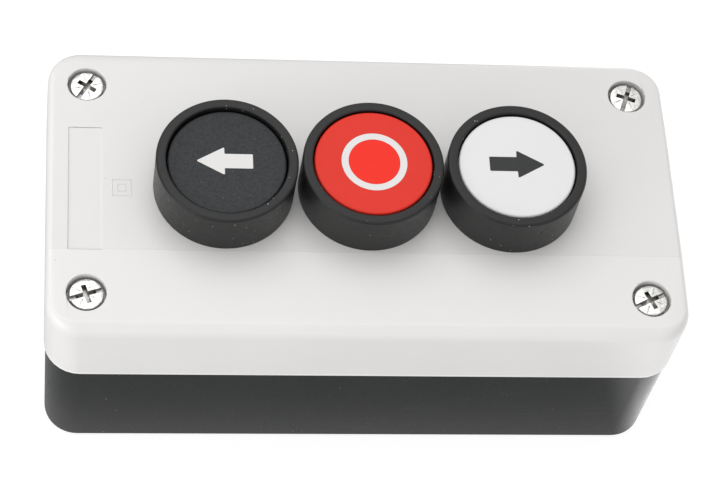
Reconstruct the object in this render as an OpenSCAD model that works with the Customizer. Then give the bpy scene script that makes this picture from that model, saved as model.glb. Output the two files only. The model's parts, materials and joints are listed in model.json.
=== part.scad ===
// Three-button control station for mounting on a wall or a panel.
// Sizes are in millimetres. The origin is the centre of the flat back, +Z points out of
// the buttons, and X runs along the housing through the three buttons.

/* [Housing] */
// Length of the cover at the parting line
housing_l = 133; // [124:0.5:164]
// Width of the cover at the parting line
housing_w = 68; // [64:0.5:84]
// Height of the cover's flat band above the back
housing_h = 50; // [48:0.5:62]
// Height of the base, up to the parting line
base_h = 31; // [30.5:0.5:33]
// Corner radius seen from the front
corner_r = 7.5; // [7:0.5:10]
// Wall thickness of base and cover
wall = 3; // [2.5:0.1:3.2]
// Thickness of the floor of the base
floor_t = 3; // [2:0.1:3.6]
// Thickness of the face of the cover
face_t = 3; // [2.5:0.1:3.6]
// Width of the flat band along the middle of the cover
band_w = 30; // [26:0.5:36]
// How far the face falls from the band to the long edges
side_fall = 0.6; // [0.2:0.1:1]
// Radius of the edge along the long sides of the face
face_edge_r = 3; // [2:0.1:4]
// Width of the edge along the two ends of the face
end_edge_w = 1.4; // [1:0.1:3]
// Radius of the edge round the back
back_edge_r = 1.5; // [0.5:0.1:2]
// How far the base stands back from the cover
base_inset = 0.4; // [0.2:0.1:0.6]
// How much each wall of the base leans in towards the back
base_draft = 0; // [0:0.1:0.6]
// How much each long wall of the cover leans in towards the face
cover_draft = 0.3; // [0:0.05:0.6]
// How much each end wall of the cover leans in towards the face
end_draft = 0.1; // [0:0.05:0.8]

/* [Seal between base and cover] */
// Width of the rim of the base that presses the seal
tongue_w = 1; // [0.8:0.1:1.2]
// Height of that rim
tongue_h = 1.5; // [1:0.1:2]
// Height of the rubber seal
gasket_h = 1.5; // [1:0.1:2]
// Free space on each side of the rim in its groove
tongue_gap = 0.3; // [0.2:0.05:0.4]
// Thickness of the cover outside the groove
skirt_t = 1.5; // [1.2:0.1:1.6]
// Thickness of the cover's lip inside the groove
lip_t = 1.2; // [1:0.1:1.6]
// Height of the cover's lip
lip_h = 4.5; // [4:0.5:6]

/* [Cover screws] */
// Distance between the screws along the housing
screw_pitch_l = 116.4; // [106:0.2:146]
// Distance between the screws across the housing
screw_pitch_w = 49.6; // [46:0.2:65.6]
// Diameter of the screw thread
screw_d = 4; // [3:0.5:4]
// Length under the head
screw_l = 27; // [24:1:29]
// Diameter of the head
head_d = 7.1; // [6.6:0.1:7.4]
// Height of the head
head_h = 2.4; // [2:0.1:2.8]
// Depth of the head's top below the face beside it
head_sink = 0.65; // [0.3:0.05:1]
// Diameter of the well round the head
well_d = 8.2; // [7.8:0.1:8.6]
// Outer radius of the screw posts
post_r = 6.4; // [6:0.1:6.8]

/* [Fixing to the wall] */
// Diameter of the four holes in the back
fixing_d = 4.3; // [3.5:0.1:5.5]
// Distance between the holes along the housing
fixing_pitch_l = 100; // [96:1:124]
// Distance between the holes across the housing
fixing_pitch_w = 34; // [30:1:36]
// Height of the collar round each hole above the floor
collar_h = 4; // [2:0.5:6]
// Diameter of the collar
collar_d = 9; // [8:0.5:10]
// Diameter of the knock-out for a cable gland in each end
knockout_d = 20.4; // [16.4:0.1:22]
// Height of the knock-out's centre above the back
knockout_z = 16.5; // [15.5:0.5:17]
// Thickness of the web that holds the knock-out
knockout_web = 1; // [0.6:0.1:1.4]

/* [Marking field] */
// Length of the shallow field across the face
field_l = 29; // [10:0.5:30]
// Width of the field
field_w = 6.9; // [4:0.1:8]
// Distance of the field's middle from the middle of the housing
field_x = 58.5; // [50:0.1:59]
// Distance of the field's middle in front of the middle of the housing
field_y = 0.6; // [0:0.1:1]
// Depth of the field
field_t = 0.2; // [0.1:0.05:0.4]

/* [Button heads] */
// Distance between the buttons
button_pitch = 30; // [29.5:0.5:38]
// Outer diameter of the round bezel
bezel_d = 29.2; // [28.4:0.1:29.4]
// Height of the bezel above the face
bezel_h = 11.2; // [10:0.1:14]
// Width of the bezel's rim
rim_w = 2.1; // [1.6:0.05:2.6]
// Thickness of the bezel's flange on the face
flange_t = 2.5; // [2.2:0.1:3]
// Diameter of the threaded barrel
barrel_d = 22; // [21:0.1:22]
// Reach of the barrel behind the face
barrel_l = 13; // [12:0.5:13.5]
// Bore of the barrel, in which the pusher slides
bore_d = 17; // [16:0.1:17.4]
// Height of the fixing nut
nut_h = 5; // [3:0.5:6]
// Diameter of the fixing nut
nut_d = 27; // [25:0.5:27]
// Travel of the buttons
travel = 4.3; // [3:0.1:5.2]
// Depth of the black, red and white cap below the rim
cap_sink = [1.05, 0.25, 0.5]; // [0:0.05:1.5]
// Gap between cap and bezel
cap_gap = 0.3; // [0.15:0.05:0.5]
// Thickness of the top of the cap
cap_t = 1.6; // [1.2:0.1:1.8]
// Thickness of the coloured legend in the cap
legend_t = 0.4; // [0.2:0.05:0.6]
// Length of the arrows
arrow_l = 11.6; // [8:0.1:14]
// Width of the arrows' heads
arrow_w = 6.6; // [5:0.1:8]
// Width of the arrows' shafts
shaft_w = 3.4; // [2:0.1:4]
// Outer diameter of the ring on the middle cap
ring_d = 13.6; // [10:0.1:16]
// Width of that ring's line
ring_w = 1.45; // [1:0.05:2.5]
// Outer diameter of the spring that lifts the button
return_spring_d = 15; // [13.6:0.1:15.4]
// Wire of that spring
return_wire = 1; // [0.8:0.1:1.2]

/* [Contact blocks] */
// Width of a contact block along the housing
block_w = 16; // [14.6:0.2:18]
// Length of a contact block across the housing
block_l = 42; // [41:0.5:50]
// Height of the contact block's housing
block_h = 19.4; // [19:0.1:20]
// Height of the rails that the blocks clip on
rail_h = 5; // [4.8:0.1:5.4]
// Thickness of the block's foot plate
foot_t = 1.6; // [1.2:0.1:2]
// Width of the square plunger
plunger_w = 7; // [6:0.1:7.4]
// Height of the plunger above its housing at rest
plunger_proud = 5.3; // [5.2:0.1:5.6]
// Free play between button and plunger
idle_gap = 0.2; // [0.1:0.05:0.4]
// Gap of an open contact
open_gap = 2.6; // [2:0.1:2.8]
// Spring travel of a closed contact
contact_squeeze = 1.5; // [1.2:0.1:1.6]
// Thickness of the contact strips
strip_t = 0.8; // [0.6:0.1:1]
// Thickness of the contact tips
tip_t = 0.6; // [0.4:0.1:0.8]

/* [Hidden] */
$fn = 96;

// Small overlap that joins shapes, and that carries cuts past a surface
eps = 0.5;
// Number of facets on the rounds of the cover
round_n = 32;

// Places of the three buttons, and which of them opens its contact when pressed
LEFT = 0;
STOP = 1;
RIGHT = 2;
function button_x(i) = (i - 1)*button_pitch;
function opens(i) = i == STOP;

// Heights that several pieces share
roof_z = housing_h - face_t;
rim_z = housing_h + bezel_h;
pocket_z = housing_h + flange_t;
barrel_z = housing_h - barrel_l;
ledge_t = 2;
ledge_z = barrel_z + ledge_t;
bezel_r = bezel_d/2;
mouth_r = bezel_r - rim_w;
barrel_r = barrel_d/2;
bore_r = bore_d/2;
cap_clear = 0.4;
skirt_z = pocket_z + travel + cap_clear;
function cap_z(i) = rim_z - cap_sink[i];
rail_z = floor_t + rail_h;
foot_z = rail_z + foot_t;
block_z = foot_z + block_h;
plunger_top_z = block_z + plunger_proud;
stem_z = plunger_top_z + idle_gap;

// Points of an arc
function arc(x, y, r, a0, a1, n = 6) =
    [for (i = [0:n]) let (a = a0 + (a1 - a0)*i/n) [x + r*cos(a), y + r*sin(a)]];

// Outline of the inside of the housing, a distance d in from the cover's outer face.
// It runs round the inner side of the four screw posts.
screw_x = screw_pitch_l/2;
screw_y = screw_pitch_w/2;
base_wall_d = base_inset + wall;
function notch_r(d) = post_r + d - base_wall_d;
function quarter(d) = let (r = notch_r(d)) concat(
    [[housing_l/2 - d, screw_y - r]],
    arc(screw_x, screw_y, r, 270, 180),
    [[screw_x - r, housing_w/2 - d]]);
function flip(points, x, y) =
    [for (i = [len(points) - 1:-1:0]) [points[i][0]*x, points[i][1]*y]];
function inner_outline(d) = let (half = concat(quarter(d), flip(quarter(d), -1, 1)))
    concat(half, flip(half, 1, -1));
module inner_block(d, z0, z1) {
    translate([0, 0, z0]) linear_extrude(z1 - z0) polygon(inner_outline(d));
}

// A block with rounded corners whose side follows the child, a profile from x = 0 to r
module rounded_sweep(l, w, r, z0, z1) {
    cx = l/2 - r;
    cy = w/2 - r;
    translate([-cx, -cy, z0]) cube([2*cx, 2*cy, z1 - z0]);
    for (i = [0:3])
        translate([i == 0 || i == 3 ? cx : -cx, i < 2 ? cy : -cy, 0])
            rotate([0, 0, 90*i]) rotate_extrude(angle = 90) children();
    for (i = [0:1]) {
        rotate([0, 0, 180*i]) translate([cx, 0, 0])
            rotate([90, 0, 0]) linear_extrude(2*cy, center = true) children();
        rotate([0, 0, 90 + 180*i]) translate([cy, 0, 0])
            rotate([90, 0, 0]) linear_extrude(2*cx, center = true) children();
    }
}

// Repeats the children at the four corners of a rectangle
module at_corners(l, w) {
    for (x = [-l/2, l/2])
        for (y = [-w/2, w/2])
            translate([x, y, 0]) children();
}

// A ring or disc from z0 to z1
module tube(r_out, r_in, z0, z1) {
    translate([0, 0, z0]) difference() {
        cylinder(r = r_out, h = z1 - z0);
        if (r_in > 0)
            translate([0, 0, -eps]) cylinder(r = r_in, h = z1 - z0 + 2*eps);
    }
}

// A block centred in x, between two places in y and two in z
module slab(w, y0, y1, z0, z1) {
    translate([-w/2, y0, z0]) cube([w, y1 - y0, z1 - z0]);
}

// A coil spring standing on z0 and reaching to z1, cut in steps a turn and in sides round
// the wire
large_coil = [4.25, 18, 8];
small_coil = [4.5, 12, 6];
module coil(mean_r, wire_r, z0, z1, form) {
    turns = form[0];
    sides = form[2];
    n = ceil(turns*form[1]);
    rise = z1 - z0 - 2*wire_r;
    points = [for (i = [0:n]) for (j = [0:sides - 1])
        let (a = 360*turns*i/n, b = 360*j/sides, r = mean_r + wire_r*cos(b))
            [r*cos(a), r*sin(a), z0 + wire_r + rise*i/n + wire_r*sin(b)]];
    skin = [for (i = [0:n - 1]) for (j = [0:sides - 1])
        let (k = (j + 1) % sides)
            [i*sides + j, i*sides + k, (i + 1)*sides + k, (i + 1)*sides + j]];
    first = [for (j = [sides - 1:-1:0]) j];
    last = [for (j = [0:sides - 1]) n*sides + j];
    polyhedron(points, concat(skin, [first, last]), convexity = 6);
}

// Base: a moulded tray with screw posts, rails for the contact blocks, fixing holes
// with collars, and a closed knock-out in each end
rail_y = 12;
rail_web = 2;
rail_lip = 1.5;
rail_lip_t = 1.5;
rail_over = 11;
stop_w = 1.5;
stop_h = 1.4;
block_gap = 0.2;
module rails() {
    half = button_pitch + rail_over;
    for (s = [-1, 1]) {
        for (web = [[rail_web, floor_t - eps], [rail_web + rail_lip, rail_z - rail_lip_t]])
            translate([-half, s > 0 ? rail_y : -rail_y - web[0], web[1]])
                cube([2*half, web[0], rail_z - web[1]]);
        for (i = [LEFT:RIGHT])
            for (side = [-1, 1])
                translate([button_x(i) + side*(block_w/2 + block_gap + stop_w/2), 0, 0])
                    translate([-stop_w/2, s > 0 ? rail_y : -rail_y - rail_web, rail_z - eps])
                        cube([stop_w, rail_web, stop_h + eps]);
    }
}
pad_d = 27;
pad_inset = 0.9;
score_w = 1;
dimple_r = 1.5;
dimple_t = 0.4;
module knockout_cut() {
    wall_x = housing_l/2 - base_wall_d;
    pad_x = housing_l/2 - pad_inset;
    translate([0, 0, knockout_z]) rotate([0, 90, 0]) {
        tube(knockout_d/2, knockout_d/2 - score_w, wall_x + knockout_web, pad_x + eps);
        tube(pad_d/2, 0, pad_x, pad_x + 2*eps);
        tube(dimple_r, 0, pad_x - dimple_t, pad_x + eps);
    }
}
core_h = 14;
core_wall = 2.6;
core_r = 3;
screw_fit = 0.05;
screw_seat_z = housing_h - side_fall*(screw_y - band_w/2)/(housing_w/2 - band_w/2)
    - head_sink - head_h;
screw_end_z = screw_seat_z - screw_l;
screw_spare = 2;
module base() {
    r = corner_r - base_inset;
    foot_r = r - base_draft;
    core_l = housing_l/2 - base_wall_d - (screw_x - post_r + core_wall);
    core_w = housing_w/2 - base_wall_d - (screw_y - post_r + core_wall);
    color("#2b2e2d") difference() {
        union() {
            difference() {
                rounded_sweep(housing_l - 2*base_inset, housing_w - 2*base_inset, r, 0, base_h)
                    polygon(concat([[0, 0]],
                        arc(foot_r - back_edge_r, back_edge_r, back_edge_r, -90, 0),
                        [[r, base_h], [0, base_h]]));
                inner_block(base_wall_d, floor_t, base_h + eps);
            }
            difference() {
                inner_block(skirt_t + tongue_gap, base_h - eps, base_h + tongue_h);
                inner_block(skirt_t + tongue_gap + tongue_w, base_h - 2*eps,
                    base_h + tongue_h + eps);
            }
            at_corners(fixing_pitch_l, fixing_pitch_w)
                tube(collar_d/2, 0, floor_t - eps, floor_t + collar_h);
            rails();
        }
        at_corners(fixing_pitch_l, fixing_pitch_w)
            tube(fixing_d/2, 0, -eps, floor_t + collar_h + eps);
        at_corners(screw_pitch_l, screw_pitch_w)
            tube(screw_d/2 + screw_fit, 0, screw_end_z - screw_spare, base_h + eps);
        for (turn = [0, 180]) rotate([0, 0, turn]) knockout_cut();
        for (sx = [0, 1])
            for (sy = [0, 1])
                mirror([sx, 0, 0]) mirror([0, sy, 0])
                    translate([housing_l/2 - base_wall_d - core_l/2,
                        housing_w/2 - base_wall_d - core_w/2, 0])
                        rounded_sweep(core_l, core_w, core_r, -eps, core_h)
                            translate([0, -eps]) square([core_r, core_h + eps]);
    }
}

// Cover: a moulded lid with a flat band, a fine fall to the long edges, wells for the
// screws, a groove for the seal, and the three panel holes with their key slots
panel_gap = 0.15;
key_w = 3;
key_r = 12.3;
key_gap = 0.2;
rib_t = 1.2;
rib_h = 4;
shaft_gap = 0.25;
groove_d0 = skirt_t;
groove_d1 = skirt_t + tongue_w + 2*tongue_gap;
edge_n = 8;
function corner_ring(l, w, r, z) = [for (k = [0:3]) let (
        sx = k == 0 || k == 3 ? 1 : -1,
        sy = k < 2 ? 1 : -1)
    for (p = arc(sx*(l/2 - r), sy*(w/2 - r), r, 90*k, 90*k + 90, round_n/4)) [p[0], p[1], z]];
function edge_ring(a) = let (share = 1 - cos(a))
    corner_ring(housing_l - 2*end_draft - 2*end_edge_w*share,
        housing_w - 2*cover_draft - 2*face_edge_r*share,
        corner_r - cover_draft - face_edge_r*share,
        housing_h - side_fall - face_edge_r*(1 - sin(a)));
module stacked(rings) {
    n = len(rings[0]);
    last = len(rings) - 1;
    skin = [for (k = [0:last - 1]) for (i = [0:n - 1]) let (j = (i + 1) % n)
        [k*n + i, (k + 1)*n + i, (k + 1)*n + j, k*n + j]];
    bottom = [for (i = [0:n - 1]) i];
    top = [for (i = [n - 1:-1:0]) last*n + i];
    polyhedron([for (ring = rings) each ring], concat(skin, [bottom, top]), convexity = 4);
}
module cover_skin() {
    hull() {
        stacked(concat([corner_ring(housing_l, housing_w, corner_r, base_h)],
            [for (k = [0:edge_n]) edge_ring(90*k/edge_n)]));
        for (x = [-1, 1])
            translate([x*(housing_l/2 - end_draft - end_edge_w), 0, housing_h - face_edge_r])
                scale([end_edge_w/face_edge_r, 1, 1]) rotate([90, 0, 0])
                    cylinder(r = face_edge_r, h = band_w, center = true, $fn = round_n);
    }
}
module cover() {
    lip_z = base_h + lip_h;
    color("#e6e6e3") difference() {
        union() {
            difference() {
                cover_skin();
                inner_block(groove_d1 + lip_t, base_h - eps, lip_z);
                inner_block(wall, lip_z - eps, roof_z);
            }
            for (x = [-button_pitch/2, button_pitch/2])
                translate([x - rib_t/2, wall/2 - housing_w/2, roof_z - rib_h])
                    cube([rib_t, housing_w - wall, rib_h + eps]);
        }
        difference() {
            inner_block(groove_d0, base_h - eps, base_h + tongue_h + gasket_h);
            inner_block(groove_d1, base_h - 2*eps, base_h + tongue_h + gasket_h + eps);
        }
        at_corners(screw_pitch_l, screw_pitch_w) {
            tube(screw_d/2 + shaft_gap, 0, base_h - eps, housing_h);
            tube(well_d/2, 0, screw_seat_z, housing_h + eps);
        }
        for (i = [LEFT:RIGHT]) translate([button_x(i), 0, 0]) {
            tube(barrel_r + panel_gap, 0, roof_z - eps, housing_h + eps);
            slab(key_w + 2*key_gap, 0, key_r + key_gap, roof_z - eps, housing_h + eps);
        }
        translate([-field_x, -field_y, 0])
            slab(field_w, -field_l/2, field_l/2, housing_h - field_t, housing_h + eps);
    }
}

// Rubber seal in the groove of the cover, pressed by the rim of the base
module cover_gasket() {
    color("#3a3a3a") difference() {
        inner_block(groove_d0, base_h + tongue_h, base_h + tongue_h + gasket_h);
        inner_block(groove_d1, base_h + tongue_h - eps, base_h + tongue_h + gasket_h + eps);
    }
}

// Four cover screws, each left turned as the screwdriver left it, with a cross recess, a
// slot across the head and a fine mark between the arms of the cross
screw_turn = [-72, -32, -65, -20];
head_dome = 0.15;
head_round = 0.4;
slot_w = 0.95;
slot_t = 0.8;
cross_l = 4.2;
cross_t = 1.5;
tip_taper = 1;
tick_w = 0.2;
tick_t = 0.25;
tick_r0 = 1.4;
tick_r1 = 3.1;
module drive_recess(top_z, r, slot, depth, cross, cross_depth) {
    for (a = [0, 90])
        rotate([0, 0, a]) slab(slot, -cross/2, cross/2, top_z - cross_depth, top_z + eps);
    slab(slot, -r - eps, r + eps, top_z - depth, top_z + eps);
}
module cover_screw(turn) {
    top_z = screw_seat_z + head_h;
    head_r = head_d/2;
    rotate([0, 0, turn]) difference() {
        rotate_extrude() polygon(concat(
            [[0, screw_end_z], [screw_d/2 - tip_taper, screw_end_z],
                [screw_d/2, screw_end_z + tip_taper], [screw_d/2, screw_seat_z],
                [head_r, screw_seat_z]],
            arc(head_r - head_round, top_z - head_dome - head_round, head_round, 0, 70, 4),
            [[0, top_z]]));
        drive_recess(top_z, head_r, slot_w, slot_t, cross_l, cross_t);
        for (a = [45:90:315])
            rotate([0, 0, a]) slab(tick_w, tick_r0, tick_r1, top_z - tick_t, top_z + eps);
    }
}
module cover_screws() {
    color("#c9c9c6")
        for (i = [0:1])
            for (j = [0:1])
                translate([(2*i - 1)*screw_x, (2*j - 1)*screw_y, 0])
                    cover_screw(screw_turn[2*i + j]);
}

// Bezel: the round button housing with its threaded barrel, clamped through the face
rim_out_r = 0.6;
rim_in_r = 0.4;
barrel_chamfer = 0.4;
seal_w = 2;
seal_t = 1.2;
seal_gap = 0.1;
seal_ease = 0.5;
seal_r = barrel_r + seal_ease;
hole_r = 5.5;
module bezel(i) {
    color("#303130") translate([button_x(i), 0, 0]) {
        rotate_extrude() polygon(concat(
            [[hole_r, barrel_z], [barrel_r - barrel_chamfer, barrel_z],
                [barrel_r, barrel_z + barrel_chamfer],
                [barrel_r, housing_h], [seal_r - seal_gap, housing_h],
                [seal_r - seal_gap, housing_h + seal_t],
                [seal_r + seal_w + seal_gap, housing_h + seal_t],
                [seal_r + seal_w + seal_gap, housing_h], [bezel_r, housing_h]],
            arc(bezel_r - rim_out_r, rim_z - rim_out_r, rim_out_r, 0, 90),
            arc(mouth_r + rim_in_r, rim_z - rim_in_r, rim_in_r, 90, 180, 4),
            [[mouth_r, pocket_z], [bore_r, pocket_z], [bore_r, ledge_z], [hole_r, ledge_z]]));
        intersection() {
            slab(key_w, barrel_r - eps, key_r + eps, roof_z + key_gap, housing_h);
            tube(key_r, barrel_r - eps, roof_z - eps, housing_h + eps);
        }
    }
}

// Rubber seal between the bezel's flange and the face
module flange_seal(i) {
    color("#3a3a3a") translate([button_x(i), 0, 0])
        tube(seal_r + seal_w, seal_r, housing_h, housing_h + seal_t);
}

// Ring nut that clamps the bezel from inside the cover
nut_gap = 0.05;
nut_notches = 8;
notch_w = 3;
notch_t = 1;
module fixing_nut(i) {
    color("#303130") translate([button_x(i), 0, 0]) difference() {
        tube(nut_d/2, barrel_r + nut_gap, roof_z - nut_h, roof_z);
        for (k = [0:nut_notches - 1])
            rotate([0, 0, 360*(k + 0.5)/nut_notches])
                slab(notch_w, nut_d/2 - notch_t, nut_d/2 + eps, roof_z - nut_h - eps, roof_z + eps);
    }
}

// Cap: the coloured button, a shallow cup that is snapped into the pusher
cap_r = mouth_r - cap_gap;
cap_wall = 1.4;
cap_edge_r = 0.5;
peg_r = 3.5;
peg_l = 3.6;
peg_gap = 0.1;
module cap(i, shade) {
    z = cap_z(i);
    color(shade) translate([button_x(i), 0, 0]) difference() {
        union() {
            rotate_extrude() polygon(concat(
                [[0, z - cap_t], [cap_r - cap_wall, z - cap_t], [cap_r - cap_wall, skirt_z],
                    [cap_r, skirt_z]],
                arc(cap_r - cap_edge_r, z - cap_edge_r, cap_edge_r, 0, 90),
                [[0, z]]));
            tube(peg_r, 0, z - cap_t - peg_l, z - cap_t + eps);
        }
        translate([0, 0, z - legend_t]) linear_extrude(legend_t + eps) legend_shape(i);
    }
}

// Legends: coloured inlays level with the caps, an arrow each way and a ring. Each sits a
// little off the middle of its cap.
head_share = 0.5;
corner_soft = 0.2;
legend_shift = [[-0.55, 0.2], [0.15, 0.2], [0, 0.4]];
function unit(v) = v/norm(v);
function turn_between(a0, a1) = (a1 - a0 + 540) % 360 - 180;
function soft_corner(before, at, after, r, n = 4) = let (
        u = unit(before - at),
        v = unit(after - at),
        half = acos(u*v)/2,
        centre = at + unit(u + v)*r/sin(half),
        from = at + u*r/tan(half) - centre,
        to = at + v*r/tan(half) - centre,
        a0 = atan2(from[1], from[0]))
    arc(centre[0], centre[1], r, a0, a0 + turn_between(a0, atan2(to[1], to[0])), n);
function soft_outline(points, r) = let (n = len(points))
    [for (i = [0:n - 1]) each soft_corner(points[(i + n - 1) % n], points[i], points[(i + 1) % n], r)];
function arrow_half(tip, neck) = [[tip, 0], [neck, arrow_w/2], [neck, shaft_w/2], [-tip, shaft_w/2]];
function arrow(side) = let (half = arrow_half(arrow_l/2, arrow_l/2 - arrow_l*head_share))
    [for (p = concat(half, [for (k = [3:-1:1]) [half[k][0], -half[k][1]]])) [side*p[0], p[1]]];
module legend_shape(i) {
    translate(legend_shift[i])
        if (i == STOP)
            difference() {
                circle(d = ring_d);
                circle(d = ring_d - 2*ring_w);
            }
        else
            polygon(soft_outline(arrow(i - 1), corner_soft));
}
module legend(i, shade) {
    color(shade) translate([button_x(i), 0, cap_z(i) - legend_t])
        linear_extrude(legend_t) legend_shape(i);
}

// Pusher: slides in the bezel's bore, carries the cap, and is held by two barbs
piston_gap = 0.15;
stem_r = 5;
barb_r = 6.2;
barb_w = 4;
barb_h = 2.2;
barb_gap = 0.1;
spring_clear = 0.05;
piston_r = bore_r - piston_gap;
piston_z = housing_h;
module pusher(i) {
    top_z = cap_z(i) - cap_t;
    color("#d8d4c8") translate([button_x(i), 0, 0]) difference() {
        union() {
            tube(piston_r, 0, piston_z, top_z);
            tube(stem_r, 0, stem_z, piston_z + eps);
            intersection() {
                for (a = [0, 90])
                    rotate([0, 0, a])
                        slab(barb_w, -barb_r, barb_r, barrel_z - barb_gap - barb_h, barrel_z - barb_gap);
                translate([0, 0, barrel_z - barb_gap - barb_h])
                    cylinder(r1 = stem_r, r2 = barb_r, h = barb_h);
            }
        }
        tube(peg_r + peg_gap, 0, top_z - peg_l - peg_gap, top_z + eps);
    }
}

// Coil spring that lifts the pusher off the barrel's ledge
module return_spring(i) {
    color("#b9bcc0") translate([button_x(i), 0, 0])
        coil(return_spring_d/2 - return_wire/2, return_wire/2, ledge_z + spring_clear,
            piston_z - spring_clear, large_coil);
}

// Foot plate of a contact block: closes the block from below and clips on the rails
chamber_y = 13.15;
chamber_wall = 1.4;
spigot_h = 1;
spigot_gap = 0.2;
claw_w = 10;
claw_t = 1.6;
claw_gap = 0.3;
barb_reach = 1.4;
barb_t = 1.6;
plunger_spring_l = 7.4;
post_gap = 0.6;
guide_r = 1.5;
spring_seat_z = foot_z + spigot_h;
module contact_foot(i) {
    claw_y = rail_y + rail_web + rail_lip + claw_gap;
    claw_z = rail_z - rail_lip_t - claw_gap;
    color("#4a4d50") translate([button_x(i), 0, 0]) {
        difference() {
            slab(block_w, -block_l/2, block_l/2, rail_z, foot_z);
            for (s = [0, 1]) mirror([0, s, 0])
                for (side = [-1, 1]) translate([side*block_w/2, 0, 0])
                    slab(2*stop_w, rail_y - block_gap, rail_y + rail_web + block_gap,
                        rail_z - eps, foot_z + eps);
        }
        slab(block_w - 2*chamber_wall - 2*spigot_gap, spigot_gap - chamber_y,
            chamber_y - spigot_gap, foot_z - eps, spring_seat_z);
        tube(guide_r, 0, spring_seat_z - eps, spring_seat_z + plunger_spring_l - travel - post_gap);
        for (s = [0, 1]) mirror([0, s, 0]) {
            slab(claw_w, claw_y, claw_y + claw_t, claw_z - barb_t, rail_z + eps);
            slab(claw_w, claw_y - barb_reach, claw_y + eps, claw_z - barb_t, claw_z);
        }
    }
}

// Housing of a contact block: a chamber for the plunger and its contacts, and at each
// end a shoulder that carries a screw terminal in a well open to the top
roof_t = 1.6;
window_gap = 0.3;
terminal_y = 16.6;
well_t = 5;
terminal_z = block_z - well_t;
well_w = 7.4;
well_y = 20;
wire_w = 5;
wire_h = 3.6;
shoulder_core_h = 5;
shoulder_core_w = 11;
guide_w = 2.4;
guide_low = 2.4;
guide_high = 9.6;
guide_gap = 0.3;
terminal_hole_r = 2;
terminal_hole_l = 7;
module contact_housing(i) {
    half = chamber_y;
    inner_w = block_w - 2*chamber_wall;
    color("#55585b") translate([button_x(i), 0, 0]) {
        difference() {
            slab(block_w, -block_l/2, block_l/2, foot_z, block_z);
            slab(inner_w, -half, half, foot_z - eps, block_z - roof_t);
            slab(plunger_w + 2*window_gap, -plunger_w/2 - window_gap, plunger_w/2 + window_gap,
                block_z - roof_t - eps, block_z + eps);
            for (s = [0, 1]) mirror([0, s, 0]) {
                slab(well_w, half - eps, well_y, terminal_z - strip_t, block_z + eps);
                slab(wire_w, well_y - eps, block_l/2 + eps, terminal_z, terminal_z + wire_h);
                slab(shoulder_core_w, half + chamber_wall, block_l/2 - chamber_wall,
                    foot_z - eps, foot_z + shoulder_core_h);
                translate([0, terminal_y, 0])
                    tube(terminal_hole_r, 0, terminal_z - terminal_hole_l, terminal_z + eps);
            }
        }
        for (s = [-1, 1])
            translate([s*(plunger_w/2 + guide_gap + inner_w/2 + eps)/2, 0, 0])
                slab(inner_w/2 - plunger_w/2 - guide_gap + eps, -guide_w/2, guide_w/2,
                    foot_z + guide_low, foot_z + guide_high);
    }
}

// Plunger of a contact block, with the window that carries the bridge and its spring
plunger_z = spring_seat_z + plunger_spring_l;
shoulder_w = 12.2;
shoulder_t = 1.2;
shoulder_gap = 0.2;
window_w = 4.1;
bridge_w = 3.5;
bridge_l = 18;
bridge_gap = 0.05;
window_floor = 2;
opening_window_floor = 1.2;
window_top_gap = 0.1;
closing_window_h = 7.5;
tip_r = 1.3;
tip_y = 7.5;
strip_roof_gap = 1.15;
fixed_z_open = block_z - roof_t - strip_roof_gap - strip_t;
function bridge_z(i) = opens(i)
    ? fixed_z_open - 2*tip_t - bridge_gap - strip_t
    : plunger_z + window_floor + bridge_gap;
function window_z0(i) = plunger_z + (opens(i) ? opening_window_floor : window_floor);
function window_z1(i) = opens(i)
    ? bridge_z(i) + strip_t + contact_squeeze + window_top_gap
    : window_z0(i) + closing_window_h;
module contact_plunger(i) {
    shoulder_z = block_z - roof_t - shoulder_gap;
    color(opens(i) ? "#b8322a" : "#2f8f55") translate([button_x(i), 0, 0]) difference() {
        union() {
            slab(plunger_w, -plunger_w/2, plunger_w/2, plunger_z, plunger_top_z);
            slab(shoulder_w, -plunger_w/2, plunger_w/2, shoulder_z - shoulder_t, shoulder_z);
        }
        slab(window_w, -plunger_w/2 - eps, plunger_w/2 + eps, window_z0(i), window_z1(i));
    }
}

// Bridge: the strip with two tips that joins the fixed contacts
module contact_bridge(i) {
    z = bridge_z(i);
    tip_z = opens(i) ? z + strip_t : z - tip_t;
    color("#c9a24a") translate([button_x(i), 0, 0]) {
        slab(bridge_w, -bridge_l/2, bridge_l/2, z, z + strip_t);
        for (y = [-tip_y, tip_y])
            translate([0, y, 0]) tube(tip_r, 0, tip_z, tip_z + tip_t);
    }
}

// Coil spring that presses the bridge on the fixed contacts
contact_spring_r = 1.6;
contact_wire_r = 0.2;
module contact_spring(i) {
    z0 = opens(i) ? window_z0(i) : bridge_z(i) + strip_t;
    z1 = opens(i) ? bridge_z(i) : window_z1(i);
    color("#b9bcc0") translate([button_x(i), 0, 0])
        coil(contact_spring_r - contact_wire_r, contact_wire_r, z0 + spring_clear,
            z1 - spring_clear, small_coil);
}

// Coil spring that lifts the plunger off the foot plate
plunger_spring_r = 3;
plunger_wire_r = 0.3;
module plunger_spring(i) {
    color("#b9bcc0") translate([button_x(i), 0, 0])
        coil(plunger_spring_r - plunger_wire_r, plunger_wire_r, spring_seat_z + spring_clear,
            plunger_z - spring_clear, small_coil);
}

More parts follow.
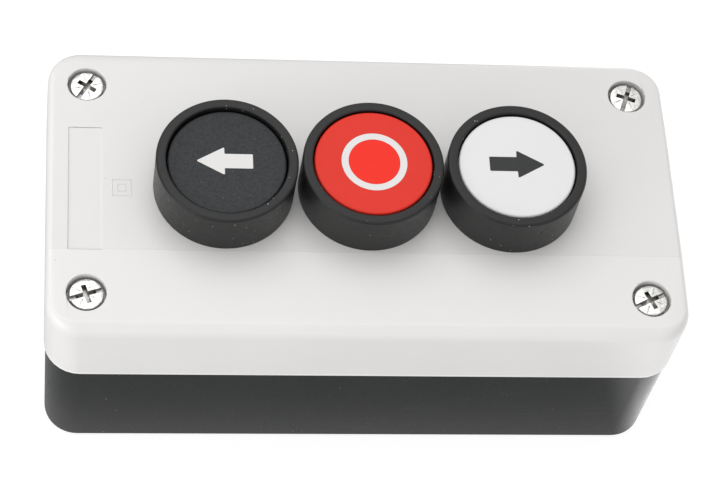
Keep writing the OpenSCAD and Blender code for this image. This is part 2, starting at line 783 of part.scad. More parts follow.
// Fixed contacts: a pair of bent strips from the tips to the screw terminals
tongue_y = 5.5;
riser_gap = 0.15;
pad_end_y = 19.6;
pad_w = 6.4;
pad_hole_r = 1.8;
module fixed_contacts(i) {
    z = opens(i) ? fixed_z_open : bridge_z(i) - 2*tip_t - open_gap - strip_t;
    tip_z = opens(i) ? z - tip_t : z + strip_t;
    riser_y = chamber_y - riser_gap;
    pad_z = terminal_z - strip_t;
    color("#c9a24a") translate([button_x(i), 0, 0])
        for (s = [0, 1]) mirror([0, s, 0]) {
            slab(bridge_w, tongue_y, riser_y, z, z + strip_t);
            slab(bridge_w, riser_y - strip_t, riser_y, min(z, pad_z), max(z + strip_t, terminal_z));
            translate([0, tip_y, 0]) tube(tip_r, 0, tip_z, tip_z + tip_t);
            difference() {
                slab(pad_w, riser_y - strip_t, pad_end_y, pad_z, terminal_z);
                translate([0, terminal_y, 0])
                    tube(pad_hole_r, 0, pad_z - eps, terminal_z + eps);
            }
        }
}

// Repeats the children at the six screw terminals
module at_terminals() {
    for (i = [LEFT:RIGHT])
        for (s = [-1, 1])
            translate([button_x(i), s*terminal_y, 0]) children();
}

// Terminal screws of all three contact blocks
clamp_t = 1;
terminal_screw_r = 1.7;
terminal_head_r = 2.9;
terminal_head_h = 2.2;
terminal_screw_l = 7;
terminal_slot_w = 0.8;
terminal_slot_t = 0.8;
terminal_cross_l = 3.4;
terminal_cross_t = 1.2;
module terminal_screws() {
    z = terminal_z + clamp_t;
    color("#c9c9c6") at_terminals() difference() {
        union() {
            tube(terminal_screw_r, 0, z - terminal_screw_l, z + eps);
            tube(terminal_head_r, 0, z, z + terminal_head_h);
        }
        drive_recess(z + terminal_head_h, terminal_head_r, terminal_slot_w, terminal_slot_t,
            terminal_cross_l, terminal_cross_t);
    }
}

// Square clamp plates under the terminal screws
clamp_w = 6;
module terminal_clamps() {
    color("#d2d2ce") at_terminals() difference() {
        slab(clamp_w, -clamp_w/2, clamp_w/2, terminal_z, terminal_z + clamp_t);
        tube(pad_hole_r, 0, terminal_z - eps, terminal_z + clamp_t + eps);
    }
}

base();
cover();
cover_gasket();
cover_screws();
bezel(LEFT);  // bezel_left
bezel(STOP);  // bezel_stop
bezel(RIGHT);  // bezel_right
flange_seal(LEFT);  // flange_seal_left
flange_seal(STOP);  // flange_seal_stop
flange_seal(RIGHT);  // flange_seal_right
fixing_nut(LEFT);  // fixing_nut_left
fixing_nut(STOP);  // fixing_nut_stop
fixing_nut(RIGHT);  // fixing_nut_right
cap(LEFT, "#3b3d3f");  // cap_left
cap(STOP, "#e63c34");  // cap_stop
cap(RIGHT, "#ededeb");  // cap_right
legend(LEFT, "#f4f4f2");  // legend_left
legend(STOP, "#f4f4f2");  // legend_stop
legend(RIGHT, "#3b3d3f");  // legend_right
pusher(LEFT);  // pusher_left
pusher(STOP);  // pusher_stop
pusher(RIGHT);  // pusher_right
return_spring(LEFT);  // return_spring_left
return_spring(STOP);  // return_spring_stop
return_spring(RIGHT);  // return_spring_right
contact_foot(LEFT);  // contact_foot_left
contact_foot(STOP);  // contact_foot_stop
contact_foot(RIGHT);  // contact_foot_right
contact_housing(LEFT);  // contact_housing_left
contact_housing(STOP);  // contact_housing_stop
contact_housing(RIGHT);  // contact_housing_right
contact_plunger(LEFT);  // contact_plunger_left
contact_plunger(STOP);  // contact_plunger_stop
contact_plunger(RIGHT);  // contact_plunger_right
contact_bridge(LEFT);  // contact_bridge_left
contact_bridge(STOP);  // contact_bridge_stop
contact_bridge(RIGHT);  // contact_bridge_right
contact_spring(LEFT);  // contact_spring_left
contact_spring(STOP);  // contact_spring_stop
contact_spring(RIGHT);  // contact_spring_right
plunger_spring(LEFT);  // plunger_spring_left
plunger_spring(STOP);  // plunger_spring_stop
plunger_spring(RIGHT);  // plunger_spring_right
fixed_contacts(LEFT);  // fixed_contacts_left
fixed_contacts(STOP);  // fixed_contacts_stop
fixed_contacts(RIGHT);  // fixed_contacts_right
terminal_screws();
terminal_clamps();
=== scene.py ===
"""Looks of the three-button control station: finishes, finer springs, a moulded mark, light and
camera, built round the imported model. Lengths are in metres."""
import json
import math

import bmesh
import bpy
from mathutils import Matrix, Vector


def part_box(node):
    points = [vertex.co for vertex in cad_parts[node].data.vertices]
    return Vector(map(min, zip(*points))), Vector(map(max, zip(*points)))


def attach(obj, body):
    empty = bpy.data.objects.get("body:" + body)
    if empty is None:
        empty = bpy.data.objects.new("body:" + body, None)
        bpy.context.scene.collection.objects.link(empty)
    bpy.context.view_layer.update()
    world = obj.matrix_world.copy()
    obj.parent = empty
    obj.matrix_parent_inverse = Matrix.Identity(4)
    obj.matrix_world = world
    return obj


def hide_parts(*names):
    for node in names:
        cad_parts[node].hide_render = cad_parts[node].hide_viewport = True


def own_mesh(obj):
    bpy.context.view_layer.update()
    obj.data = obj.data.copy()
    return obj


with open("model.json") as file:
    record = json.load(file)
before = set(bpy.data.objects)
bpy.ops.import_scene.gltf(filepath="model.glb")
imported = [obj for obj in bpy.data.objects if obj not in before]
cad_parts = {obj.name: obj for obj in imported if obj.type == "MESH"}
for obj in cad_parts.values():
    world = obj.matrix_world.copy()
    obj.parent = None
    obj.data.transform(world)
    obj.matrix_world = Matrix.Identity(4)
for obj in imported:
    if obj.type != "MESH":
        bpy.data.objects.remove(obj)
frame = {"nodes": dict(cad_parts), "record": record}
bpy.context.view_layer.update()

MM = 0.001
BUTTONS = ("left", "stop", "right")

# Camera, fitted to the photograph. Its lens and sensor are in millimetres
CAMERA_AT = Vector((-0.0679, -0.2540, 0.4808))
CAMERA_FORWARD = Vector((0.1315, 0.4850, -0.8646))
CAMERA_RIGHT = Vector((0.9912, -0.0518, 0.1217))
CAMERA_LENS = 121.2
CAMERA_SENSOR = 36
CAMERA_NEAR = 0.01
CAMERA_FAR = 20

# Light: even from all round, and three square lamps that look at the middle of the object
WORLD_LEVEL = 0.59
LAMP_AIM = Vector((0, 0, 0.03))
LAMPS = {
    "key": {"at": Vector((-0.14, 0.20, 0.74)), "size": 0.8, "power": 2.52},
    "fill": {"at": Vector((-0.25, -0.95, 0.20)), "size": 0.8, "power": 1.1},
    "side": {"at": Vector((-0.70, -0.45, 0.10)), "size": 0.5, "power": 3.3},
}

# Floor: the colour that throws light on the object, and the colour and glow that are seen
FLOOR_SIZE = 6.0
FLOOR_CELLS = 8
FLOOR_BELOW = 0.02*MM
FLOOR_LIT = (0.92, 0.92, 0.92, 1)
FLOOR_SEEN = (0.30, 0.30, 0.30, 1)
FLOOR_GLOW = 0.84
WHITE = (1, 1, 1, 1)
# The glow that gloss sees: dim to the left, and bright from the right-hand end on
GLOSS_FROM = 0.060
GLOSS_TO = 0.071
GLOSS_DIM = 0.10
GLOSS_BRIGHT = 1.25

# Housing: heights of the parting line and of the face, the most that the face's slopes fall, and
# half the flat band along the face with the width of the painted crease shade either way
PARTING_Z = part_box("cover")[0].z
FACE_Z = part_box("cover")[1].z
FACE_DEPTH = 0.7*MM
BAND_HALF = 15.0*MM
CREASE_SHADE_REACH = 0.09*MM
# The cover's lower lip: its height, and how many of these the painted highlight on it and the
# painted shadow under it reach to
LIP = 0.55*MM
LIP_FADE = 1.6

# Cover screws: height of their heads, and where the painted shade starts and is full in the recess
SCREW_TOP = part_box("cover_screws")[1].z
HEAD_HEIGHT = 2.3*MM
RECESS_SHADE_FROM = 0.22*MM
RECESS_SHADE_TO = 0.55*MM

# Stop button's ring: its middle, its inner radius and how the brighter red ends under it
ring_low, ring_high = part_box("legend_stop")
RING_AT = Vector(((ring_low.x + ring_high.x)/2, (ring_low.y + ring_high.y)/2, 0))
RING_INNER_R = 5.35*MM
RING_FADE_IN = 0.3*MM
RING_FADE_OUT = 0.6*MM

# Edges: radius of the rounding of each kind of node, and the angle from which an edge is round
EDGE_RADII = {"base": 0.12*MM, "cover": 0.12*MM, "cover_screws": 0.06*MM, "bezel": 0.06*MM,
              "cap": 0.05*MM, "legend": 0.02*MM}
EDGE_ANGLE = math.radians(28)
EDGE_STEPS = 2
# Faces within the flat angle of one plane are joined, points within the weld's reach are one,
# and an edge within the crease's reach of a crease stays sharp
FLAT_ANGLE = math.radians(0.02)
WELD_REACH = 0.001*MM
CREASE_REACH = 0.01*MM

# Springs: turns and wire radius of each kind
RETURN_SPRING = (5.5, 0.5*MM)
PLUNGER_SPRING = (5, 0.3*MM)
MAKE_SPRING = (6, 0.2*MM)
BREAK_SPRING = (4.5, 0.2*MM)
# A coil's faces round the wire and a turn, its closed turns at each end, and the rise of a
# closed turn in wire radii
COIL_SIDES = 12
COIL_STEPS = 40
COIL_END_TURNS = 1.0
CLOSED_RISE = 2.1

# Square mark on the face: its middle, the sides of its squares, its line's width and height,
# and where the line's flat top starts and ends across its width
MARK_AT = Vector((-51.1*MM, -0.6*MM))
MARK_SIDES = (4.0*MM, 1.8*MM)
MARK_LINE = 0.16*MM
MARK_HEIGHT = 0.07*MM
MARK_TOP_FROM = 0.3
MARK_TOP_TO = 0.7

# Noises: scales in features a metre, and the spread that most of a noise lies in
NOISE_SPREAD = (0.3, 0.7)
SLOW_SCALE = 55
FINE_SCALE = 900
STREAK_SCALE = 2600
STREAK_STRETCH = (0.02, 1, 1)
SPECKLE_SCALE = 2300
BLOTCH_SCALE = 1300
DRAWN_SCALE = 2500

# Dust: cells a metre, radius in cells and share of the cells that hold a speck, of each size.
# A speck is full as far as DUST_SOFT of its radius
DUST = ((330, 0.045, 0.30), (900, 0.11, 0.10))
DUST_ROUGH = 0.8
DUST_SOFT = 0.6
PALE_DUST = (0.75, 0.74, 0.70)
DARK_DUST = (0.30, 0.28, 0.26)

# Wear, reliefs and painted shade in hollows. A spread is where a mark starts and where it is full,
# in what makes it
BEVEL_SAMPLES = 4
EDGE_BEND = (0.99, 0.80)
WEAR_REACH = 2.2
WEAR_SPREAD = (0.35, 0.65)
WEAR_LEAST = 0.4
WORN = (0.62, 0.62, 0.60)
STREAK_SPREAD = (0.66, 0.74)
STREAK_PATCHES = (0.4, 0.6)
STREAK = (0.35, 0.36, 0.35)
PLASTIC_UNEVEN = 0.06
PLASTIC_RELIEF = 0.6
METAL_SMOOTHER = 0.08
METAL_ROUGHER = 0.10
METAL_RELIEF = 0.5
METAL_DEPTH = 0.01*MM
METAL_EDGE = 0.08*MM
BLOTCH_SPREAD = (0.35, 0.6)
BLOTCH_SHADE = 0.68
HOLLOW_SHADE_REACH = 0.9*MM
HOLLOW_SHADE_SPREAD = (0.75, 0.25)
HOLLOW_SHADE_SAMPLES = 8
# Painted shade in hollows, by ambient occlusion
PAINTED_HOLLOW_SHADE = (0.035, 0.035, 0.035)

# Colours by place, each with its share where its mark is full
# Painted bounce light: the base is paler towards its foot
PAINTED_FOOT_BOUNCE = (0.070, 0.070, 0.070)
# Painted shadow just under the cover
PAINTED_UNDER_COVER_SHADOW = (0.002, 0.002, 0.002)
UNDER_SHADOW_SHARE = 0.8
# Painted highlight along the cover's lower lip
PAINTED_LIP_HIGHLIGHT = (0.92, 0.92, 0.91)
LIP_HIGHLIGHT_SHARE = 0.9
# Painted light: the cover's front slope is paler, as if lit more from the front
PAINTED_SLOPE_LIGHT = (0.86, 0.853, 0.845)
SLOPE_LIGHT_SHARE = 0.42
# Painted shade: a fine darker line along the front crease
PAINTED_CREASE_SHADE = (0.55, 0.55, 0.54)
CREASE_SHADE_SHARE = 0.22
SPECKLE_SPREAD = (0.33, 0.67)
SPECKLE_SHARE = 0.26
BRIGHT_RED = (0.97, 0.022, 0.008)
BRIGHT_SHARE = 0.85
# Painted shade in the recess of the screw heads
PAINTED_RECESS_SHADE = (0.115, 0.105, 0.092)
RECESS_SHADE_SHARE = 0.62


def new_object(name, data):
    """A new object in the scene."""
    obj = bpy.data.objects.new(name, data)
    bpy.context.scene.collection.objects.link(obj)
    return obj


def make_camera():
    """The camera of the photograph: place, direction and lens."""
    forward = CAMERA_FORWARD.normalized()
    right = (CAMERA_RIGHT - CAMERA_RIGHT.dot(forward)*forward).normalized()
    up = right.cross(forward)
    data = bpy.data.cameras.new("camera")
    data.sensor_width = CAMERA_SENSOR
    data.lens = CAMERA_LENS
    data.clip_start = CAMERA_NEAR
    data.clip_end = CAMERA_FAR
    camera = new_object("camera", data)
    turn = Matrix((right, up, -forward)).transposed()
    camera.matrix_world = Matrix.Translation(CAMERA_AT) @ turn.to_4x4()
    bpy.context.scene.camera = camera


def empty_tree(owner):
    """The node tree of a material or world, with nothing in it."""
    owner.use_nodes = True
    owner.node_tree.nodes.clear()
    return owner.node_tree


def node(tree, kind, inputs=None, **settings):
    """Adds a shader node. An input is a value or the socket that feeds it."""
    made = tree.nodes.new(kind)
    for key, value in settings.items():
        setattr(made, key, value)
    for key, value in (inputs or {}).items():
        if isinstance(value, bpy.types.NodeSocket):
            tree.links.new(value, made.inputs[key])
        else:
            made.inputs[key].default_value = value
    return made


def mix(tree, factor, a, b, blend="MIX"):
    """Mixes two colours by a factor."""
    made = node(tree, "ShaderNodeMix", {0: factor, 6: a, 7: b}, data_type="RGBA", blend_type=blend)
    return made.outputs[2]


def span(tree, value, low, high, to_low=0.0, to_high=1.0):
    """Maps low..high of a value to another span, held at its ends."""
    made = node(tree, "ShaderNodeMapRange", {0: value, 1: low, 2: high, 3: to_low, 4: to_high})
    return made.outputs[0]


def calc(tree, operation, *values):
    """One step of arithmetic."""
    made = node(tree, "ShaderNodeMath", dict(enumerate(values)), operation=operation)
    return made.outputs[0]


def place(tree, stretch=(1, 1, 1)):
    """The object's own coordinates, in metres, stretched along its axes."""
    coords = node(tree, "ShaderNodeTexCoord").outputs["Object"]
    return node(tree, "ShaderNodeMapping", {"Vector": coords, "Scale": stretch}).outputs[0]


def along(tree):
    """The object's own coordinates as three sockets, x, y and z."""
    return node(tree, "ShaderNodeSeparateXYZ", {0: place(tree)}).outputs


def noise(tree, where, scale, detail, rough=0.55):
    """Fractal noise, scale in features a metre."""
    return node(tree, "ShaderNodeTexNoise", {"Vector": where, "Scale": scale, "Detail": detail,
                                             "Roughness": rough}).outputs[0]


def specks(tree, where, per_metre, radius, share):
    """Small round specks, 1 at their middle: one in some of the cells of a lattice."""
    cells = node(tree, "ShaderNodeTexVoronoi", {"Vector": where, "Scale": per_metre}, feature="F1")
    dot = span(tree, cells.outputs["Distance"], DUST_SOFT*radius, radius, 1, 0)
    draw = node(tree, "ShaderNodeSeparateColor", {0: cells.outputs["Color"]})
    return calc(tree, "MULTIPLY", dot, calc(tree, "LESS_THAN", draw.outputs[0], share))


def edges(tree, radius):
    """Where the surface turns within a radius: 0 on flats and up to 1 on an edge."""
    soft = node(tree, "ShaderNodeBevel", {"Radius": radius}, samples=BEVEL_SAMPLES)
    hard = node(tree, "ShaderNodeNewGeometry")
    both = node(tree, "ShaderNodeVectorMath", {0: soft.outputs[0], 1: hard.outputs["Normal"]},
                operation="DOT_PRODUCT")
    return span(tree, both.outputs["Value"], *EDGE_BEND)


def shaded(tree, base, shade):
    """A colour times a level."""
    grey = node(tree, "ShaderNodeCombineColor", {0: shade, 1: shade, 2: shade}).outputs[0]
    return mix(tree, 1.0, base, grey, "MULTIPLY")


def lay(tree, base, colour, mask, share):
    """Lays a colour over another where a mask is 1, by a share."""
    return mix(tree, calc(tree, "MULTIPLY", mask, share), base, (*colour, 1))


def relief(tree, shader, edge, strength, depth, height):
    """Rounds the shading at the edges, and adds a fine relief."""
    rounding = node(tree, "ShaderNodeBevel", {"Radius": edge}, samples=BEVEL_SAMPLES)
    bump = node(tree, "ShaderNodeBump", {"Strength": strength, "Distance": depth,
                                         "Normal": rounding.outputs[0], "Height": height})
    tree.links.new(bump.outputs[0], shader.inputs["Normal"])


def finish_of(name, metallic=0.0):
    """A new material with a principled shader, and its tree."""
    material = bpy.data.materials.new(name)
    tree = empty_tree(material)
    shader = node(tree, "ShaderNodeBsdfPrincipled", {"Metallic": metallic})
    output = node(tree, "ShaderNodeOutputMaterial")
    tree.links.new(shader.outputs[0], output.inputs[0])
    return material, tree, shader


def plastic(name, colour, rough, mottle, grain=4200, depth=0.012*MM, wear=0.25, dust=0.0,
            dust_share=1.0, dust_colour=PALE_DUST, streaks=0.0, edge=0.10*MM, tint=None,
            specular=0.5):
    """Moulded plastic: slow colour changes, a fine grain, softened and worn edges, dust specks
    and drawn streaks. tint(tree, colour socket) may change the colour by place."""
    material, tree, shader = finish_of(name)
    where = place(tree)
    slow = noise(tree, where, SLOW_SCALE, detail=4)
    fine = noise(tree, where, FINE_SCALE, detail=3)
    base = shaded(tree, (*colour, 1), span(tree, slow, *NOISE_SPREAD, 1 - mottle, 1 + mottle))
    if tint:
        base = tint(tree, base)
    rub = calc(tree, "MULTIPLY", edges(tree, WEAR_REACH*edge),
               span(tree, fine, *WEAR_SPREAD, WEAR_LEAST, 1))
    base = lay(tree, base, WORN, rub, wear)
    level = span(tree, fine, *NOISE_SPREAD, rough - PLASTIC_UNEVEN, rough + PLASTIC_UNEVEN)
    if dust:
        dots = calc(tree, "MAXIMUM", *[specks(tree, where, per_metre, radius, share*dust_share)
                                       for per_metre, radius, share in DUST])
        base = lay(tree, base, dust_colour, dots, dust)
        level = calc(tree, "MAXIMUM", level, calc(tree, "MULTIPLY", dots, DUST_ROUGH))
    if streaks:
        lines = noise(tree, place(tree, STREAK_STRETCH), STREAK_SCALE, detail=2, rough=0.6)
        faint = calc(tree, "MULTIPLY", span(tree, lines, *STREAK_SPREAD),
                     span(tree, slow, *STREAK_PATCHES))
        base = lay(tree, base, STREAK, faint, streaks)
    tree.links.new(base, shader.inputs["Base Color"])
    tree.links.new(level, shader.inputs["Roughness"])
    shader.inputs["Specular IOR Level"].default_value = specular
    relief(tree, shader, edge, PLASTIC_RELIEF, depth, noise(tree, where, grain, detail=2))
    return material


def metal(name, colour, rough, hollow_shade=0.0, tint=None):
    """Plated or drawn metal: dull blotches, uneven gloss and painted shade in the corners."""
    material, tree, shader = finish_of(name, metallic=1.0)
    where = place(tree)
    drawn = noise(tree, where, DRAWN_SCALE, detail=3)
    blotches = noise(tree, where, BLOTCH_SCALE, detail=4, rough=0.65)
    dull = [BLOTCH_SHADE*c for c in colour]
    base = mix(tree, span(tree, blotches, *BLOTCH_SPREAD), (*dull, 1), (*colour, 1))
    if tint:
        base = tint(tree, base)
    if hollow_shade:
        # painted shade in the hollows, by ambient occlusion
        hollow = node(tree, "ShaderNodeAmbientOcclusion", {"Distance": HOLLOW_SHADE_REACH},
                      samples=HOLLOW_SHADE_SAMPLES, only_local=True)
        base = lay(tree, base, PAINTED_HOLLOW_SHADE, span(tree, hollow.outputs["AO"], *HOLLOW_SHADE_SPREAD), hollow_shade)
    tree.links.new(base, shader.inputs["Base Color"])
    level = span(tree, drawn, *NOISE_SPREAD, rough - METAL_SMOOTHER, rough + METAL_ROUGHER)
    tree.links.new(level, shader.inputs["Roughness"])
    relief(tree, shader, METAL_EDGE, METAL_RELIEF, METAL_DEPTH, drawn)
    return material


def base_tint(tree, base):
    """The base has painted bounce light, paler towards its foot, and a painted shadow just under the
    cover.
    """
    height = along(tree)[2]
    # painted bounce light: paler towards the foot
    low = span(tree, height, PARTING_Z, 0.0)
    base = lay(tree, base, PAINTED_FOOT_BOUNCE, low, low)
    # painted shadow just under the cover
    under_shadow = span(tree, height, PARTING_Z - LIP_FADE*LIP, PARTING_Z - LIP)
    return lay(tree, base, PAINTED_UNDER_COVER_SHADOW, under_shadow, UNDER_SHADOW_SHARE)


def cover_tint(tree, base):
    """The cover's lower lip has a painted highlight, its front slope is painted paler as painted
    light from the front, and a fine line of painted shade follows the crease between band and slope."""
    spot = along(tree)
    # painted highlight on the lower lip
    lip = span(tree, spot[2], PARTING_Z + LIP, PARTING_Z + LIP_FADE*LIP, 1, 0)
    base = lay(tree, base, PAINTED_LIP_HIGHLIGHT, lip, LIP_HIGHLIGHT_SHARE)
    on_face = calc(tree, "GREATER_THAN", spot[2], FACE_Z - FACE_DEPTH)
    # painted light on the front slope
    slope = calc(tree, "MULTIPLY", calc(tree, "LESS_THAN", spot[1], -BAND_HALF), on_face)
    base = lay(tree, base, PAINTED_SLOPE_LIGHT, slope, SLOPE_LIGHT_SHARE)
    # painted shade along the front crease
    away = calc(tree, "ABSOLUTE", calc(tree, "SUBTRACT", spot[1], -BAND_HALF))
    line = calc(tree, "MULTIPLY", calc(tree, "LESS_THAN", away, CREASE_SHADE_REACH), on_face)
    return lay(tree, base, PAINTED_CREASE_SHADE, line, CREASE_SHADE_SHARE)


def speckle_tint(tree, base):
    """The black cap's moulded grain shows as a fine speckle, paler and darker."""
    grain = noise(tree, place(tree), SPECKLE_SCALE, detail=2)
    shade = span(tree, grain, *SPECKLE_SPREAD, 1 - SPECKLE_SHARE, 1 + SPECKLE_SHARE)
    return shaded(tree, base, shade)


def red_tint(tree, base):
    """The red cap is a little brighter inside its ring."""
    flat = node(tree, "ShaderNodeVectorMath", {0: place(tree, (1, 1, 0)), 1: RING_AT},
                operation="DISTANCE")
    inside = span(tree, flat.outputs["Value"], RING_INNER_R - RING_FADE_IN,
                  RING_INNER_R + RING_FADE_OUT, 1, 0)
    return lay(tree, base, BRIGHT_RED, inside, BRIGHT_SHARE)


def screw_tint(tree, base):
    """Painted shade darkens the recess in the heads of the cover screws."""
    height = along(tree)[2]
    # painted shade deep in the recess
    deep = span(tree, height, SCREW_TOP - RECESS_SHADE_FROM, SCREW_TOP - RECESS_SHADE_TO)
    head = calc(tree, "GREATER_THAN", height, SCREW_TOP - HEAD_HEIGHT)
    return lay(tree, base, PAINTED_RECESS_SHADE, calc(tree, "MULTIPLY", deep, head), RECESS_SHADE_SHARE)


# Each material slot of the record, with its maker and what that is told
FINISHES = {
    "base_black": (plastic, dict(
        colour=(0.0083, 0.0104, 0.0096), rough=0.22, mottle=0.20, grain=3000, depth=0.02*MM,
        wear=0.05, dust=0.6, dust_share=0.2, streaks=0.10, edge=0.20*MM, tint=base_tint)),
    "cover_grey": (plastic, dict(
        colour=(0.804, 0.795, 0.783), rough=0.34, mottle=0.012, grain=2600, depth=0.004*MM,
        wear=0.05, dust=0.7, dust_share=0.10, dust_colour=DARK_DUST, edge=0.20*MM,
        tint=cover_tint)),
    "bezel_black": (plastic, dict(
        colour=(0.0110, 0.0110, 0.0108), rough=0.38, mottle=0.08, grain=3800, depth=0.02*MM,
        wear=0.03, dust=0.8, dust_share=1.8, edge=0.08*MM, specular=0.3)),
    "cap_black": (plastic, dict(
        colour=(0.029, 0.031, 0.034), rough=0.62, mottle=0.06, grain=5200, depth=0.05*MM,
        wear=0.02, dust=0.15, tint=speckle_tint, specular=0.3)),
    "cap_red": (plastic, dict(
        colour=(0.76, 0.031, 0.016), rough=0.42, mottle=0.03, grain=2600, depth=0.010*MM,
        wear=0.0, tint=red_tint, specular=0.25)),
    "cap_white": (plastic, dict(
        colour=(0.815, 0.815, 0.815), rough=0.42, mottle=0.012, grain=2600, depth=0.010*MM,
        wear=0.10)),
    "legend_white": (plastic, dict(
        colour=(0.795, 0.782, 0.772), rough=0.45, mottle=0.02, edge=0.04*MM)),
    "legend_black": (plastic, dict(
        colour=(0.025, 0.026, 0.027), rough=0.50, mottle=0.06, edge=0.04*MM, specular=0.3)),
    "seal_rubber": (plastic, dict(
        colour=(0.012, 0.012, 0.012), rough=0.75, mottle=0.10, grain=2500, depth=0.03*MM,
        wear=0.05)),
    "screw_steel": (metal, dict(colour=(0.78, 0.775, 0.75), rough=0.24, hollow_shade=0.9, tint=screw_tint)),
    "spring_steel": (metal, dict(colour=(0.60, 0.61, 0.63), rough=0.28)),
    "pusher_plastic": (plastic, dict(colour=(0.60, 0.56, 0.47), rough=0.45, mottle=0.04)),
    "block_grey": (plastic, dict(colour=(0.055, 0.060, 0.065), rough=0.50, mottle=0.06)),
    "contact_brass": (metal, dict(colour=(0.78, 0.60, 0.27), rough=0.26, hollow_shade=0.3)),
    "plunger_green": (plastic, dict(colour=(0.022, 0.25, 0.085), rough=0.45, mottle=0.04)),
    "plunger_red": (plastic, dict(colour=(0.45, 0.030, 0.022), rough=0.45, mottle=0.04)),
}
finishes = {slot: maker(slot, **look) for slot, (maker, look) in FINISHES.items()}


def dress(obj, slot):
    """Gives a piece its finish, in place of any that it came with."""
    obj.data.materials.clear()
    obj.data.materials.append(finishes[slot])


def is_crease(point):
    """Whether a point lies on one of the two creases along the cover's face."""
    return (abs(abs(point.y) - BAND_HALF) < CREASE_REACH
            and abs(point.z - FACE_Z) < CREASE_REACH)


def round_edges(obj, radius):
    """Welds the imported faces, shades them smooth and rounds the sharp edges."""
    mesh = obj.data
    if "custom_normal" in mesh.attributes:
        mesh.attributes.remove(mesh.attributes["custom_normal"])
    for face in mesh.polygons:
        face.use_smooth = True
    for edge in mesh.edges:
        edge.use_edge_sharp = all(is_crease(mesh.vertices[i].co) for i in edge.vertices)
    weld = obj.modifiers.new("weld", "WELD")
    weld.merge_threshold = WELD_REACH
    planes = obj.modifiers.new("planes", "DECIMATE")
    planes.decimate_type = "DISSOLVE"
    planes.angle_limit = FLAT_ANGLE
    planes.delimit = {"SHARP"}
    bevel = obj.modifiers.new("round", "BEVEL")
    bevel.width = radius
    bevel.segments = EDGE_STEPS
    bevel.limit_method = "ANGLE"
    bevel.angle_limit = EDGE_ANGLE
    bevel.use_clamp_overlap = False
    bevel.harden_normals = True
    weigh = obj.modifiers.new("weigh", "WEIGHTED_NORMAL")
    weigh.mode = "FACE_AREA"
    weigh.keep_sharp = True


def dress_nodes():
    """Finish of every node, and rounding of those whose edges show."""
    for part in frame["record"]["subparts"]:
        name = part["node"]
        obj = frame["nodes"][name]
        dress(obj, part["material_slot"])
        kind = name.rsplit("_", 1)[0] if name.endswith(BUTTONS) else name
        if kind in EDGE_RADII:
            round_edges(obj, EDGE_RADII[kind])


def mesh_of(made, name):
    """Turns what bmesh made into a mesh."""
    mesh = bpy.data.meshes.new(name)
    made.to_mesh(mesh)
    made.free()
    return mesh


def join_rings(made, rings):
    """Faces from each ring of points to the next."""
    for one, two in zip(rings, rings[1:]):
        for j in range(len(one)):
            k = (j + 1) % len(one)
            made.faces.new((one[j], one[k], two[k], two[j]))


def new_piece(name, mesh, slot, body):
    """A piece of its own, in place, that rides on a body."""
    obj = new_object(name, mesh)
    dress(obj, slot)
    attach(obj, body)
    return obj


def coil_mesh(name, x, mean_r, wire_r, z0, z1, turns):
    """A compression spring with a closed turn at each end."""
    body_turns = turns - 2*COIL_END_TURNS
    closed_rise = CLOSED_RISE*wire_r
    rise = z1 - z0 - 2*wire_r - 2*COIL_END_TURNS*closed_rise
    made = bmesh.new()
    rings = []
    steps = int(turns*COIL_STEPS)
    for i in range(steps + 1):
        turn = turns*i/steps
        low = min(turn, COIL_END_TURNS)
        high = max(turn - COIL_END_TURNS - body_turns, 0)
        middle = turn - low - high
        z = z0 + wire_r + (low + high)*closed_rise + rise*middle/body_turns
        a = 2*math.pi*turn
        ring = []
        for j in range(COIL_SIDES):
            b = 2*math.pi*j/COIL_SIDES
            r = mean_r + wire_r*math.cos(b)
            point = (x + r*math.cos(a), r*math.sin(a), z + wire_r*math.sin(b))
            ring.append(made.verts.new(point))
        rings.append(ring)
    join_rings(made, rings)
    for face in made.faces:
        face.smooth = True
    made.faces.new(list(reversed(rings[0])))
    made.faces.new(rings[-1])
    bmesh.ops.recalc_face_normals(made, faces=made.faces)
    return mesh_of(made, name)


def smooth_spring(node_name, spring, body, joint=""):
    """Replaces a spring's node by a finer coil; where a joint is given, the coil gets a mesh of its
    own.
    """
    turns, wire_r = spring
    low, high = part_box(node_name)
    x = (low.x + high.x)/2
    mean_r = (high.x - low.x)/2 - wire_r
    name = node_name + "_coil"
    mesh = coil_mesh(name, x, mean_r, wire_r, low.z, high.z, turns)
    coil = new_piece(name, mesh, "spring_steel", body)
    if joint:
        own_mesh(coil)
    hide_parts(node_name)


def springs():
    """The three springs of each button. The stop button's contact spring keeps its length."""
    for b in BUTTONS:
        press, contact, bridge = f"press_{b}", f"contact_{b}", f"bridge_{b}"
        smooth_spring(f"return_spring_{b}", RETURN_SPRING, "housing", press)
        smooth_spring(f"plunger_spring_{b}", PLUNGER_SPRING, "housing", contact)
        if b == "stop":
            smooth_spring(f"contact_spring_{b}", BREAK_SPRING, f"plunger_{b}")
        else:
            smooth_spring(f"contact_spring_{b}", MAKE_SPRING, bridge, contact)


def square_mark():
    """Fine moulded lines on the face: a square in a square. Each square is a closed ring with
    its foot inside the cover."""
    made = bmesh.new()
    for side in MARK_SIDES:
        outer = side/2
        rings = []
        for half, z in ((outer, -MARK_HEIGHT), (outer, MARK_HEIGHT/2),
                        (outer - MARK_TOP_FROM*MARK_LINE, MARK_HEIGHT),
                        (outer - MARK_TOP_TO*MARK_LINE, MARK_HEIGHT),
                        (outer - MARK_LINE, MARK_HEIGHT/2), (outer - MARK_LINE, -MARK_HEIGHT)):
            rings.append([made.verts.new((MARK_AT.x + sx*half, MARK_AT.y + sy*half, FACE_Z + z))
                          for sx, sy in ((-1, -1), (1, -1), (1, 1), (-1, 1))])
        join_rings(made, rings + rings[:1])
    bmesh.ops.recalc_face_normals(made, faces=made.faces)
    new_piece("square_mark", mesh_of(made, "square_mark"), "cover_grey", "housing")


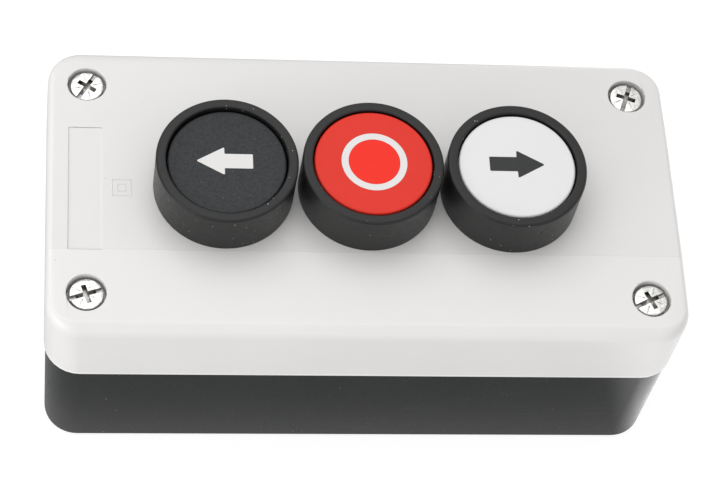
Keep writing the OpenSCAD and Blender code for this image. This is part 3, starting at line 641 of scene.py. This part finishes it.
def seen_directly(tree):
    """1 for rays from the camera, or by way of gloss or glass, and 0 for diffuse light."""
    path = node(tree, "ShaderNodeLightPath")
    gloss = calc(tree, "MAXIMUM", path.outputs["Is Glossy Ray"], path.outputs["Is Transmission Ray"])
    return calc(tree, "MAXIMUM", path.outputs["Is Camera Ray"], gloss)


def floor_finish():
    """A pale matt floor for the light, and where it is seen a glow that keeps the shadow."""
    material = bpy.data.materials.new("floor")
    tree = empty_tree(material)
    lit = node(tree, "ShaderNodeBsdfDiffuse", {"Color": FLOOR_LIT})
    seen_lit = node(tree, "ShaderNodeBsdfDiffuse", {"Color": FLOOR_SEEN})
    in_gloss = span(tree, along(tree)[0], GLOSS_FROM, GLOSS_TO, GLOSS_DIM, GLOSS_BRIGHT)
    path = node(tree, "ShaderNodeLightPath")
    strength = node(tree, "ShaderNodeMix", {0: path.outputs["Is Glossy Ray"], 2: FLOOR_GLOW,
                                            3: in_gloss})
    glow = node(tree, "ShaderNodeEmission", {"Color": WHITE, "Strength": strength.outputs[0]})
    seen = node(tree, "ShaderNodeAddShader", {0: seen_lit.outputs[0], 1: glow.outputs[0]})
    either = node(tree, "ShaderNodeMixShader", {0: seen_directly(tree), 1: lit.outputs[0],
                                                2: seen.outputs[0]})
    output = node(tree, "ShaderNodeOutputMaterial")
    tree.links.new(either.outputs[0], output.inputs[0])
    return material


def make_floor():
    """The floor lies a hair under the base, so that the two share no plane."""
    made = bmesh.new()
    bmesh.ops.create_grid(made, x_segments=FLOOR_CELLS, y_segments=FLOOR_CELLS, size=FLOOR_SIZE/2)
    floor = new_object("floor", mesh_of(made, "floor"))
    floor.location.z = -FLOOR_BELOW
    floor.data.materials.append(floor_finish())


def make_world():
    """Even pale light all round, and white where it is seen."""
    world = bpy.data.worlds.new("world")
    bpy.context.scene.world = world
    tree = empty_tree(world)
    dim = node(tree, "ShaderNodeBackground", {"Color": WHITE, "Strength": WORLD_LEVEL})
    white = node(tree, "ShaderNodeBackground", {"Color": WHITE, "Strength": 1.0})
    either = node(tree, "ShaderNodeMixShader", {0: seen_directly(tree), 1: dim.outputs[0],
                                                2: white.outputs[0]})
    output = node(tree, "ShaderNodeOutputWorld")
    tree.links.new(either.outputs[0], output.inputs[0])


def softbox(name, at, size, power):
    """A square lamp that looks at the middle of the object."""
    data = bpy.data.lights.new(name, "AREA")
    data.shape = "SQUARE"
    data.size = size
    data.energy = power
    lamp = new_object(name, data)
    lamp.location = at
    lamp.rotation_mode = "QUATERNION"
    lamp.rotation_quaternion = (LAMP_AIM - at).to_track_quat("-Z", "Y")


make_camera()
dress_nodes()
springs()
square_mark()
make_floor()
make_world()
for lamp_name, lamp_facts in LAMPS.items():
    softbox(lamp_name, **lamp_facts)
bpy.context.scene.view_settings.view_transform = "Standard"

bpy.context.view_layer.update()
